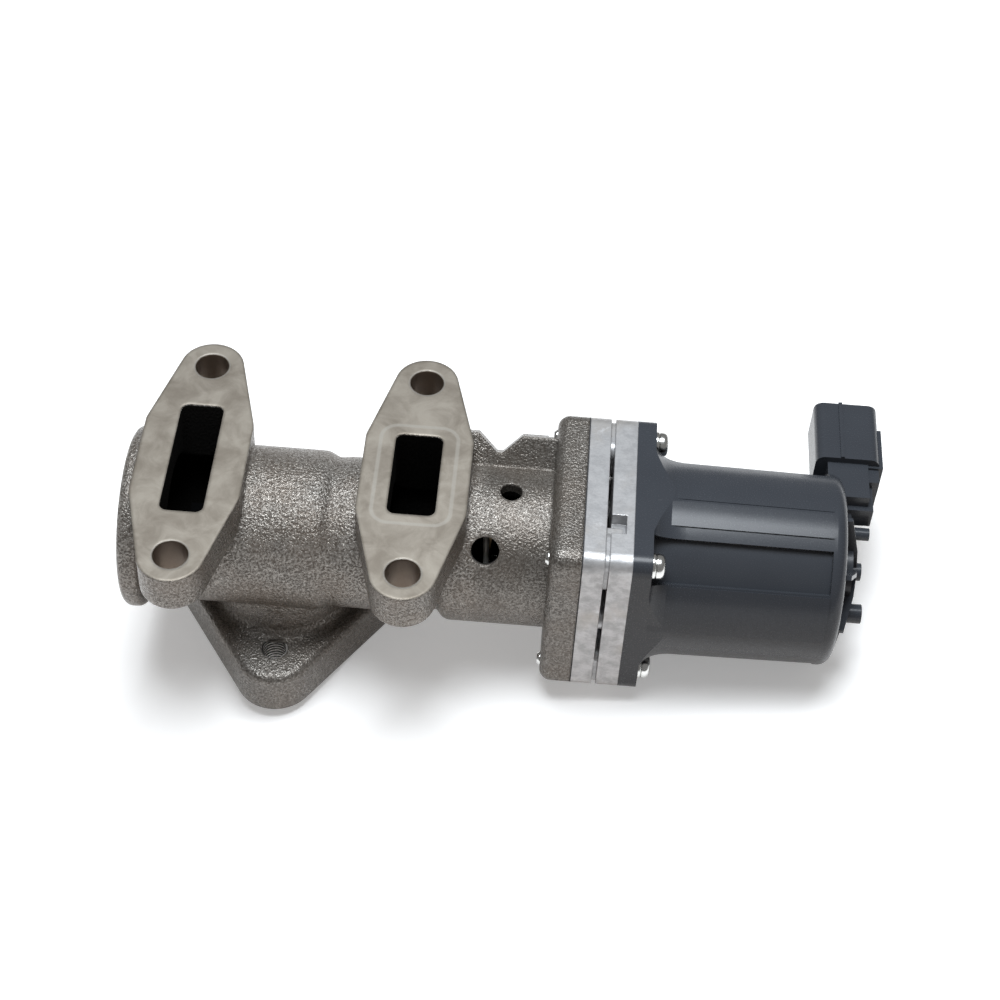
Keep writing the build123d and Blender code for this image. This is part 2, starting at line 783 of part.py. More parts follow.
with BuildPart() as adapter_plate:
    square_plate(adapter_x0, adapter_t)
    # Corner pads and dowel pads hold the air gap open
    with BuildSketch(cross_section(adapter_x1)):
        pad_pitch = square_side - 2 * pad_inset - pad_side
        with GridLocations(pad_pitch, pad_pitch, 2, 2):
            RectangleRounded(pad_side, pad_side, square_corner_r - pad_inset)
        with GridLocations(dowel_spread, 0, 2, 1):
            Circle(dowel_pad_r)
    extrude(amount=air_gap)
    # Lug that reaches into the base plate's notch
    lug_y = notch_centre_y - notch_w / 2 + lug_side
    lug_z = square_side / 2 - notch_z + free_gap
    block((adapter_x1, base_x0 + lug_reach), (lug_y - lug_w / 2, lug_y + lug_w / 2), (lug_z, lug_z + lug_h))
    tube(adapter_x0, base_x0, adapter_bore_r, mode=Mode.SUBTRACT)
    tube(adapter_x0, adapter_x0 + shaft_seal_t, shaft_seal_r, mode=Mode.SUBTRACT)
    corner_holes(adapter_x0, base_x0, screw_r + screw_clearance)
    with BuildSketch(cross_section(base_x0)):
        with GridLocations(dowel_spread, 0, 2, 1):
            Circle(dowel_r + seated_fit)
    extrude(amount=-dowel_length / 2, mode=Mode.SUBTRACT)

with BuildPart() as shaft_seal:
    turn(
        (adapter_x0, stem_r + running_fit + seal_lip),
        (adapter_x0 + shaft_seal_t / 2, shaft_r + running_fit),
        (adapter_x0 + shaft_seal_t, shaft_r + seal_lip),
        (adapter_x0 + shaft_seal_t, shaft_seal_r - seated_fit),
        (adapter_x0, shaft_seal_r - seated_fit),
    )

with BuildPart() as base_plate:
    square_plate(base_x0, base_t)
    tube(base_x1, bearing_1_x1, front_housing_r)
    tube(base_x0, base_x1, bush_r, mode=Mode.SUBTRACT)
    tube(base_x1, bearing_1_x0, bearing_1_r - inner_ring_wall, mode=Mode.SUBTRACT)
    tube(bearing_1_x0, bearing_1_x1, bearing_1_r, mode=Mode.SUBTRACT)
    # Groove for the cover's seal, and the notch in the top edge
    tube(base_x1 - cover_seal_t, base_x1, cover_seal_r + cover_seal_w, cover_seal_r, mode=Mode.SUBTRACT)
    notch_y = (notch_centre_y - notch_w / 2, notch_centre_y + notch_w / 2)
    notch_top = (square_side / 2 - notch_z, square_side / 2)
    block((base_x0, base_x0 + notch_x), notch_y, notch_top, mode=Mode.SUBTRACT)
    corner_holes(base_x0, base_x1, screw_r + screw_clearance)
    with BuildSketch(cross_section(base_x0)):
        with GridLocations(dowel_spread, 0, 2, 1):
            Circle(dowel_r + seated_fit)
    extrude(amount=dowel_length / 2, mode=Mode.SUBTRACT)

with BuildPart() as dowel_pins:
    with BuildSketch(cross_section(base_x0 - dowel_length / 2)):
        with GridLocations(dowel_spread, 0, 2, 1):
            Circle(dowel_r)
    extrude(amount=dowel_length)

# Bush with a flatted hole that keeps the screw shaft from turning
with BuildPart() as shaft_bush:
    tube(base_x0, base_x1, bush_r - seated_fit)
    tube(base_x1, base_x1 + bush_flange_t, bush_flange_r)
    with BuildSketch(cross_section(base_x0)):
        Circle(shaft_r + running_fit)
        Rectangle(2 * (shaft_r + running_fit), 2 * (shaft_flat + running_fit), mode=Mode.INTERSECT)
    extrude(amount=base_t + bush_flange_t, mode=Mode.SUBTRACT)
    tube(base_x0, flats_x0, shaft_r + free_gap, mode=Mode.SUBTRACT)

with BuildPart() as cover_seal:
    tube(
        base_x1 - cover_seal_t,
        base_x1,
        cover_seal_r + cover_seal_w - seated_fit,
        cover_seal_r + seated_fit,
    )

# Screw shaft: round nose, flatted guide and threaded part
shaft_x0 = contact_x + shaft_contact
with BuildPart() as screw_shaft:
    turn(
        (shaft_x0, 0),
        (shaft_x0, shaft_r - shaft_nose),
        (shaft_x0 + shaft_nose, shaft_r),
        (thread_x0, shaft_r),
        (thread_x0 + shaft_nose, shaft_thread_r),
        (thread_x1, shaft_thread_r),
        (thread_x1, 0),
    )
    for side in (-1, 1):
        flat_z = sorted((side * shaft_flat, side * 2 * shaft_r))
        block((flats_x0, thread_x0), (-2 * shaft_r, 2 * shaft_r), flat_z, mode=Mode.SUBTRACT)

# Rotor: sleeve with its internal thread, magnet and sensor magnet
shoulder_1_r = front_journal_r + journal_shoulder
shoulder_2_r = rear_journal_r + journal_shoulder
sensor_magnet_x0 = magnet_x1 + free_gap
with BuildPart() as rotor_sleeve:
    turn(
        (bearing_1_x0, sleeve_bore_r),
        (bearing_1_x0, front_journal_r),
        (bearing_1_x1, front_journal_r),
        (bearing_1_x1, shoulder_1_r),
        (magnet_x0, shoulder_1_r),
        (magnet_x0, magnet_inner_r),
        (magnet_x1, magnet_inner_r),
        (magnet_x1, shoulder_2_r),
        (bearing_2_x0, shoulder_2_r),
        (bearing_2_x0, rear_journal_r),
        (bearing_2_x1, rear_journal_r),
        (bearing_2_x1, sleeve_bore_r),
        (stack_x1, sleeve_bore_r),
        (stack_x1, sleeve_thread_r),
        (stack_x0, sleeve_thread_r),
        (stack_x0, sleeve_bore_r),
    )

with BuildPart() as rotor_magnet:
    tube(magnet_x0, magnet_x1, magnet_outer_r, magnet_inner_r + seated_fit)

with BuildPart() as sensor_magnet:
    tube(sensor_magnet_x0, sensor_magnet_x0 + sensor_magnet_t, sensor_magnet_r, shoulder_2_r + seated_fit)


# Bearings: outer ring with its shields on the fixed side, inner ring on the rotor
def outer_ring(x0, journal_r):
    """Outer ring and shields of a bearing on a journal of this radius."""
    inner_r = journal_r + inner_ring_wall + free_gap
    outer_r = journal_r + ball_space - seated_fit
    turn(
        (x0, inner_r),
        (x0 + bearing_t, inner_r),
        (x0 + bearing_t, outer_r - bearing_chamfer),
        (x0 + bearing_t - bearing_chamfer, outer_r),
        (x0 + bearing_chamfer, outer_r),
        (x0, outer_r - bearing_chamfer),
    )


with BuildPart() as front_bearing:
    outer_ring(bearing_1_x0, front_journal_r)

with BuildPart() as rear_bearing:
    outer_ring(bearing_2_x0, rear_journal_r)

with BuildPart() as front_bearing_inner:
    tube(bearing_1_x0, bearing_1_x1, front_journal_r + inner_ring_wall, front_journal_r + seated_fit)

with BuildPart() as rear_bearing_inner:
    tube(bearing_2_x0, bearing_2_x1, rear_journal_r + inner_ring_wall, rear_journal_r + seated_fit)

with BuildPart() as bearing_spring:
    washer_inner_r = rear_journal_r + inner_ring_wall + free_gap
    turn(
        (bearing_2_x1, bearing_2_r - seated_fit),
        (bearing_2_x1 + bearing_spring_t, bearing_2_r - seated_fit),
        (bearing_spring_x1, washer_inner_r),
        (bearing_spring_x1 - bearing_spring_t, washer_inner_r),
    )

# Stator: yoke with inward teeth, end insulators and one coil on each tooth
tooth_step = 360 / tooth_count
with BuildPart() as stator_core:
    with BuildSketch(cross_section(stack_x0)):
        Circle(stator_r)
        Circle(yoke_inner_r, mode=Mode.SUBTRACT)
        tooth_middle = (tooth_root_r + yoke_inner_r) / 2
        with PolarLocations(tooth_middle, tooth_count):
            Rectangle(yoke_inner_r - tooth_root_r + tooth_tip_t, tooth_w)
        with BuildSketch(Plane.XY, mode=Mode.PRIVATE) as tip:
            with BuildLine():
                half = tooth_tip_arc / 2
                inner = CenterArc((0, 0), stator_bore_r, -half, tooth_tip_arc)
                outer = CenterArc((0, 0), tooth_root_r, -half, tooth_tip_arc)
                Line(inner @ 0, outer @ 0)
                Line(inner @ 1, outer @ 1)
            make_face()
        with PolarLocations(0, tooth_count):
            add(tip.sketch)
    extrude(amount=stack_length)

with BuildPart() as stator_insulators:
    ring_r = stator_r - seated_fit
    tube(stack_x0 - insulator_h, stack_x0, ring_r, ring_r - insulator_wall)
    tube(stack_x1, stack_x1 + insulator_h, ring_r, ring_r - insulator_wall)

with BuildPart() as stator_coils:
    coil_r0 = tooth_root_r + coil_clear
    coil_r1 = yoke_inner_r - coil_clear
    stack_middle = (stack_x0 + stack_x1) / 2
    for i in range(tooth_count):
        a = radians(i * tooth_step)
        outward = Plane(
            origin=(stack_middle, coil_r0 * cos(a), axis_height + coil_r0 * sin(a)),
            x_dir=(1, 0, 0),
            z_dir=(0, cos(a), sin(a)),
        )
        with BuildSketch(outward) as winding:
            Rectangle(stack_length + 2 * coil_end, tooth_w + 2 * coil_w)
            Rectangle(stack_length + coil_clear, tooth_w + coil_clear / 2, mode=Mode.SUBTRACT)
        extrude(winding.sketch, amount=coil_r1 - coil_r0)

with BuildPart() as sensor_board:
    tube(board_x0, board_x1, cover_inner_r - seated_fit, board_bore_r)


# Motor cover
def cover_r(x):
    """Outer radius of the cover's tapered body at x."""
    return cover_r_root + (cover_r_end - cover_r_root) * (x - cover_face_x) / cover_length


ramp_x1 = cover_face_x + ramp_length
pad_x0 = cover_face_x + pad_ahead
pad_x1 = cover_end_x - pad_end_back
wall_middle_r = cover_inner_r + cover_wall / 2
shroud_x = cover_end_x + shroud_ahead
shroud_middle_z = shroud_top - shroud_height / 2

with BuildPart() as motor_cover:
    square_plate(base_x1, cover_flange_t)
    with BuildSketch(half_section):
        with BuildLine():
            Polyline((base_x1, 0), (base_x1, cover_r_root), (cover_face_x, cover_r_root + ramp_rise))
            Bezier(
                (cover_face_x, cover_r_root + ramp_rise),
                (cover_face_x + ramp_knee, cover_r(cover_face_x)),
                (ramp_x1, cover_r(ramp_x1)),
            )
            Polyline(
                (ramp_x1, cover_r(ramp_x1)),
                (cover_end_x, cover_r_end),
                (cover_end_x, 0),
                (base_x1, 0),
            )
        make_face()
    revolve(axis=valve_axis)
    with BuildSketch(cross_section(base_x1)):
        RectangleRounded(square_side, square_side, square_corner_r)
    extrude(amount=cover_end_x - base_x1, mode=Mode.INTERSECT)
    end_rim = motor_cover.edges().filter_by(GeomType.CIRCLE).group_by(Axis.X)[-1]
    fillet(end_rim, cover_end_fillet)

    # Raised pads, then the recesses that make room for a driver at the four screws
    for start, arc, height in pads:
        turn(
            (pad_x0, wall_middle_r),
            (pad_x1, wall_middle_r),
            (pad_x1, cover_r(pad_x1) + height),
            (pad_x0, cover_r(pad_x0) + height),
            plane=tilted_section(start),
            arc=arc,
        )
    for i in range(recess_count):
        turn(
            (cover_face_x, cover_r(cover_face_x) - recess_drop),
            (pad_x1, cover_r(pad_x1) - recess_drop),
            (pad_x1, square_side),
            (cover_face_x, square_side),
            plane=tilted_section(recess_start + i * 360 / recess_count),
            arc=recess_arc,
            mode=Mode.SUBTRACT,
        )
    corner_holes(cover_face_x, ramp_x1, head_pocket_r)

    # Shroud of the connector, with its key, neck and rail
    mouth = Plane(
        origin=(shroud_x, shroud_y, axis_height + shroud_middle_z),
        x_dir=(1, 0, 0),
        z_dir=(0, 1, 0),
    )
    with BuildSketch(mouth):
        RectangleRounded(shroud_width, shroud_height, shroud_corner_r)
    extrude(amount=shroud_length)
    key_x = shroud_x - key_offset
    key_z = (shroud_top - shroud_wall, shroud_top + key_h)
    block((key_x - key_w / 2, key_x + key_w / 2), (shroud_y, shroud_y + shroud_length), key_z)
    neck_z = (shroud_top - neck_drop - neck_h, shroud_top - neck_drop)
    block((shroud_x - neck_w / 2, shroud_x + neck_w / 2), (neck_y, shroud_y), neck_z)
    rail_x0 = shroud_x + shroud_width / 2
    block((cover_end_x, rail_x0 + rail_t), rail_y, rail_z)
    block((cover_end_x, rail_x0 - step_inset), (step_y, rail_y[0]), step_z)

    # Posts, hub, sloping fins, lead box and peg on the end
    tube(end_wall_x, cover_end_x + hub_h, hub_r, hub_r - hub_wall)
    for i in range(fin_count):
        with BuildSketch(tilted_section(i * 360 / fin_count)):
            with BuildLine():
                Polyline(
                    (end_wall_x, 0),
                    (cover_end_x + fin_post_h, 0),
                    (cover_end_x + fin_hub_h, hub_r),
                    (cover_end_x + fin_rim_h, fin_reach),
                    (end_wall_x, fin_reach),
                    close=True,
                )
            make_face()
        extrude(amount=fin_t / 2, both=True)
    for y, z, radius, height in (
        (0, 0, post_r, post_h),
        (stub_y, stub_z, stub_r, stub_h),
        (peg_y, peg_z, peg_r, peg_h),
    ):
        with BuildSketch(cross_section(end_wall_x)):
            with Locations((y, z)):
                Circle(radius)
        extrude(amount=cover_end_t + height)
    block((end_wall_x, cover_end_x + lead_box_h), lead_box_y, lead_box_z)
    with BuildSketch(cross_section(cover_end_x + lead_box_h)):
        with Locations((sum(lead_box_y) / 2, sum(lead_box_z) / 2)):
            with GridLocations(lead_pocket_pitch, 0, 2, 1):
                Rectangle(lead_pocket_y, lead_pocket_z)
    extrude(amount=-lead_pocket_depth, mode=Mode.SUBTRACT)

    # Cavities: connector, motor and rear bearing
    with BuildSketch(mouth.offset(shroud_back_t)):
        cavity_r = shroud_corner_r - shroud_wall
        RectangleRounded(shroud_width - 2 * shroud_wall, shroud_height - 2 * shroud_wall, cavity_r)
    extrude(amount=shroud_length, mode=Mode.SUBTRACT)
    with BuildSketch(mouth.offset(shroud_back_t)):
        with GridLocations(pin_pitch_x, pin_pitch_z, pins_per_row, 2):
            Rectangle(pin_side + 2 * seated_fit, pin_side + 2 * seated_fit)
    extrude(amount=-pin_root, mode=Mode.SUBTRACT)
    tube(base_x1, board_x1, cover_inner_r, mode=Mode.SUBTRACT)
    turn(
        (board_x1, 0),
        (bearing_2_x0, 0),
        (bearing_2_x0, rear_housing_r),
        (end_wall_x, rear_housing_r),
        (end_wall_x, cover_inner_r - board_step),
        (board_x1, cover_inner_r - board_step),
        mode=Mode.SUBTRACT,
    )
    tube(bearing_2_x0, bearing_spring_x1, bearing_2_r, mode=Mode.SUBTRACT)
    tube(bearing_spring_x1, end_wall_x, bearing_2_r - rear_stop, mode=Mode.SUBTRACT)
    corner_holes(base_x1, cover_face_x, screw_r + screw_clearance)

# Terminals: rows of pins rooted in the back wall of the shroud
with BuildPart() as connector_pins:
    with BuildSketch(mouth.offset(shroud_back_t - pin_root)):
        with GridLocations(pin_pitch_x, pin_pitch_z, pins_per_row, 2):
            Rectangle(pin_side, pin_side)
    extrude(amount=pin_length)

# Screws through the whole stack, with their heads and washers
washer_x1 = cover_face_x + washer_t
head_x1 = washer_x1 + screw_head_h
with BuildPart() as cover_screws:
    corner_holes(motor_flange_x0 - screw_tip_out, washer_x1, screw_r, mode=Mode.ADD)
    corner_holes(washer_x1, head_x1, screw_head_r, mode=Mode.ADD)

with BuildPart() as screw_washers:
    corner_holes(cover_face_x, washer_x1, washer_r, mode=Mode.ADD)
    corner_holes(cover_face_x, washer_x1, screw_r + seated_fit)

pieces = {
    "valve_housing": valve_housing,
    "end_plug": end_plug,
    "left_valve_seat": left_valve_seat,
    "right_valve_seat": right_valve_seat,
    "valve_stem": valve_stem,
    "left_poppet": left_poppet,
    "right_poppet": right_poppet,
    "poppet_spacer": poppet_spacer,
    "poppet_nut": poppet_nut,
    "stem_guide": stem_guide,
    "stem_scraper": stem_scraper,
    "spring_seat": spring_seat,
    "return_spring": return_spring,
    "spring_retainer": spring_retainer,
    "retainer_collets": retainer_collets,
    "housing_gasket": housing_gasket,
    "adapter_plate": adapter_plate,
    "shaft_seal": shaft_seal,
    "base_plate": base_plate,
    "dowel_pins": dowel_pins,
    "shaft_bush": shaft_bush,
    "cover_seal": cover_seal,
    "screw_shaft": screw_shaft,
    "rotor_sleeve": rotor_sleeve,
    "rotor_magnet": rotor_magnet,
    "sensor_magnet": sensor_magnet,
    "front_bearing": front_bearing,
    "front_bearing_inner": front_bearing_inner,
    "rear_bearing": rear_bearing,
    "rear_bearing_inner": rear_bearing_inner,
    "bearing_spring": bearing_spring,
    "stator_core": stator_core,
    "stator_insulators": stator_insulators,
    "stator_coils": stator_coils,
    "sensor_board": sensor_board,
    "motor_cover": motor_cover,
    "connector_pins": connector_pins,
    "cover_screws": cover_screws,
    "screw_washers": screw_washers,
}

os.makedirs("parts", exist_ok=True)
for name, piece in pieces.items():
    piece.part.label = name
    export_step(piece.part, f"parts/{name}.step")
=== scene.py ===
import math

import bmesh
import bpy
from mathutils import Matrix, Vector
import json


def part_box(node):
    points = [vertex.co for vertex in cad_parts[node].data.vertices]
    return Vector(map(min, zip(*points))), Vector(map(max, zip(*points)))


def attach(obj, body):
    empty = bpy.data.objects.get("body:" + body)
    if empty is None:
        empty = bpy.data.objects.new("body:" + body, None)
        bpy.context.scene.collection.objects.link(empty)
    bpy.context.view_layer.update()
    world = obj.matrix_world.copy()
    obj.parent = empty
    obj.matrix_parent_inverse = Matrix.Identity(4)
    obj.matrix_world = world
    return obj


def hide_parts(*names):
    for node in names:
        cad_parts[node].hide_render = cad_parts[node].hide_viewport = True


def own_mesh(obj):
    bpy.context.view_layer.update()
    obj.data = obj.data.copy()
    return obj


# EGR valve on a pale studio floor, seen as in the photograph. Everything is in metres, in the frame
# of the CAD model: X along the valve axis towards the motor, Z up, origin at the inlet port.
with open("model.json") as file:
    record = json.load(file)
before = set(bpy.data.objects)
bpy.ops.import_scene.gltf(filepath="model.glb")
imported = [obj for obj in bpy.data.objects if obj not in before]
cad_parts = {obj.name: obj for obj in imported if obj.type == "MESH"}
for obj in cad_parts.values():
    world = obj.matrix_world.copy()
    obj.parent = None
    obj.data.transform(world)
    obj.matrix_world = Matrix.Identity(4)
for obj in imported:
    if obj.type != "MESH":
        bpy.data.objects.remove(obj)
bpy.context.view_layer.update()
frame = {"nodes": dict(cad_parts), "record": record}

MM = 0.001
AXIS_Z = 50 * MM  # height of the valve axis above the inlet face
OUTLET_Z = 83.4 * MM
OUTLET_X = (-30 * MM, 47.2 * MM)
OUTLET_BOLT_Y = 44 * MM
INLET_BOLTS = ((0, -29.5 * MM), (-31.5 * MM, 16.5 * MM), (31.5 * MM, 16.5 * MM))
THREAD_PITCH = 1.5 * MM

# Parts of the housing that its finishes and its painted shade follow
OUTLETS_END_X = 70 * MM  # between the outlet flanges and the motor flange
BOLT_HOLE_R = 6 * MM
TAPPED_HOLE_R = 4.6 * MM
INLET_FLANGE_TOP = 17.3 * MM
BORES_R = 24.2 * MM
PASSAGE_HALVES = ((7.6 * MM, 24.9 * MM), (8.4 * MM, 18.5 * MM))  # half width and half length
IMPRINT_HALVES = (13.5 * MM, 22.5 * MM)
IMPRINT_CORNER = 6 * MM

# Screws and spring, which are built again here with their rounded shapes
SHANK_R = 2.5 * MM
SCREW_HEAD_R = 4.3 * MM
WASHER_R = 4.45 * MM
RECESS_R = 1.7 * MM
SPRING_R = 15.0 * MM
SPRING_TURNS = 4.5
SPRING_START = 81  # degrees from straight up, towards the front
WIRE_R = 1.05 * MM
WIRE_SIDES = 12
STEPS_PER_TURN = 48

# Camera, solved from the photograph
CAMERA_AT = Vector((88.141, -482.765, 625.899)) * MM
CAMERA_ELEVATION = 48.84
CAMERA_YAW = -1.346
CAMERA_ROLL = 3.49
SENSOR = 36.0
LENS = 76.08

# The part rests tipped on the right edge of its inlet flange and on the end of the motor cover
FLOOR_PIVOT_X = 46 * MM
FLOOR_TIP = 6.247
FLOOR_SIZE = 6
FLOOR_GLOW = 0.30  # whitens the floor for the camera and in reflections

WORLD_LIGHT = 0.20
KEY_AT = (0.02, 0.05, 1.3)
KEY_AIM = (0.075, 0, 0.05)
KEY_SIZE = (0.7, 0.62)
KEY_POWER = 19
KEY_COLOR = (0.94, 0.99, 1.04)


# Shader helpers
class Shader:
    """A node material under construction, with short ways to add and join its nodes."""

    def __init__(self, name):
        self.material = bpy.data.materials.new(name)
        self.material.use_nodes = True
        self.tree = self.material.node_tree
        self.principled = self.tree.nodes["Principled BSDF"]
        self.place = self.tree.nodes.new("ShaderNodeTexCoord").outputs["Object"]

    def add(self, kind, **settings):
        node = self.tree.nodes.new(kind)
        for key, value in settings.items():
            setattr(node, key, value)
        return node

    def join(self, source, target):
        """Connects a socket, or writes a plain value, into an input."""
        if isinstance(source, bpy.types.NodeSocket):
            self.tree.links.new(source, target)
        else:
            target.default_value = source

    def set(self, **inputs):
        """Sets inputs of the Principled shader by name, with _ for a space."""
        for key, value in inputs.items():
            self.join(value, self.principled.inputs[key.replace("_", " ")])

    def math(self, operation, a, b=0.0):
        node = self.add("ShaderNodeMath", operation=operation)
        self.join(a, node.inputs[0])
        self.join(b, node.inputs[1])
        return node.outputs[0]

    def length(self, a, b):
        """Distance that two components at right angles make."""
        squares = self.math("ADD", self.math("MULTIPLY", a, a), self.math("MULTIPLY", b, b))
        return self.math("SQRT", squares)

    def axes(self, vector=None):
        """The three components of a vector, by default of the place in the frame."""
        node = self.add("ShaderNodeSeparateXYZ")
        self.join(vector or self.place, node.inputs[0])
        return node.outputs

    def stretched(self, x, y, z):
        """The place, scaled along each axis, for textures that run one way."""
        node = self.add("ShaderNodeVectorMath", operation="MULTIPLY")
        self.join(self.place, node.inputs[0])
        node.inputs[1].default_value = (x, y, z)
        return node.outputs[0]

    def noise(self, size, detail=2.0, roughness=0.5, vector=None, distortion=0.0):
        """Noise whose features are about this many metres across."""
        node = self.add("ShaderNodeTexNoise")
        self.join(vector or self.place, node.inputs["Vector"])
        node.inputs["Scale"].default_value = 1 / size
        node.inputs["Detail"].default_value = detail
        node.inputs["Roughness"].default_value = roughness
        node.inputs["Distortion"].default_value = distortion
        return node.outputs["Fac"]

    def ramp(self, value, low, high, start=0.0, end=1.0):
        """Maps low..high smoothly to start..end."""
        node = self.add("ShaderNodeMapRange", interpolation_type="SMOOTHSTEP")
        self.join(value, node.inputs["Value"])
        for name, number in (("From Min", low), ("From Max", high), ("To Min", start), ("To Max", end)):
            node.inputs[name].default_value = number
        return node.outputs["Result"]

    def mix(self, share, a, b):
        """Colour between a and b."""
        node = self.add("ShaderNodeMix", data_type="RGBA")
        self.join(share, node.inputs[0])
        for value, socket in ((a, node.inputs[6]), (b, node.inputs[7])):
            self.join((*value, 1.0) if isinstance(value, tuple) else value, socket)
        return node.outputs[2]

    def blend(self, share, a, b):
        """Number between a and b."""
        node = self.add("ShaderNodeMix", data_type="FLOAT")
        for value, socket in ((share, node.inputs[0]), (a, node.inputs[2]), (b, node.inputs[3])):
            self.join(value, socket)
        return node.outputs[0]

    def bump(self, height, depth, strength=1.0, normal=None):
        node = self.add("ShaderNodeBump")
        self.join(height, node.inputs["Height"])
        self.join(strength, node.inputs["Strength"])
        node.inputs["Distance"].default_value = depth
        if normal:
            self.join(normal, node.inputs["Normal"])
        return node.outputs["Normal"]

    def soft_edges(self, radius, samples=6):
        """Normal that rounds the edges in shading only."""
        node = self.add("ShaderNodeBevel", samples=samples)
        self.join(radius, node.inputs["Radius"])
        return node.outputs["Normal"]


def simple(name, color, metallic, roughness, grain=0.6 * MM, spread=0.12, bump=0.00002, edge=0.0):
    """Material with a little mottling and grain over one colour."""
    s = Shader(name)
    darker = tuple(c * (1 - spread) for c in color)
    lighter = tuple(min(1.0, c * (1 + spread)) for c in color)
    mottle = s.noise(6 * MM, detail=4)
    fine = s.noise(grain, detail=3)
    normal = s.soft_edges(edge) if edge else None
    s.set(
        Base_Color=s.mix(mottle, darker, lighter),
        Metallic=metallic,
        Roughness=s.ramp(fine, 0.2, 0.8, roughness * 0.85, roughness * 1.15),
        Normal=s.bump(fine, bump, normal=normal),
    )
    return s.material


def ring_around(s, x, y, inner, outer, soft):
    """Mask that is 1 between two radii round a point of the place's X and Y."""
    px, py, _ = s.axes()
    radius = s.length(s.math("SUBTRACT", px, x), s.math("SUBTRACT", py, y))
    out = s.ramp(radius, outer - soft, outer + soft, 1.0, 0.0)
    if not inner:
        return out
    return s.math("MULTIPLY", out, s.ramp(radius, inner - soft, inner + soft))


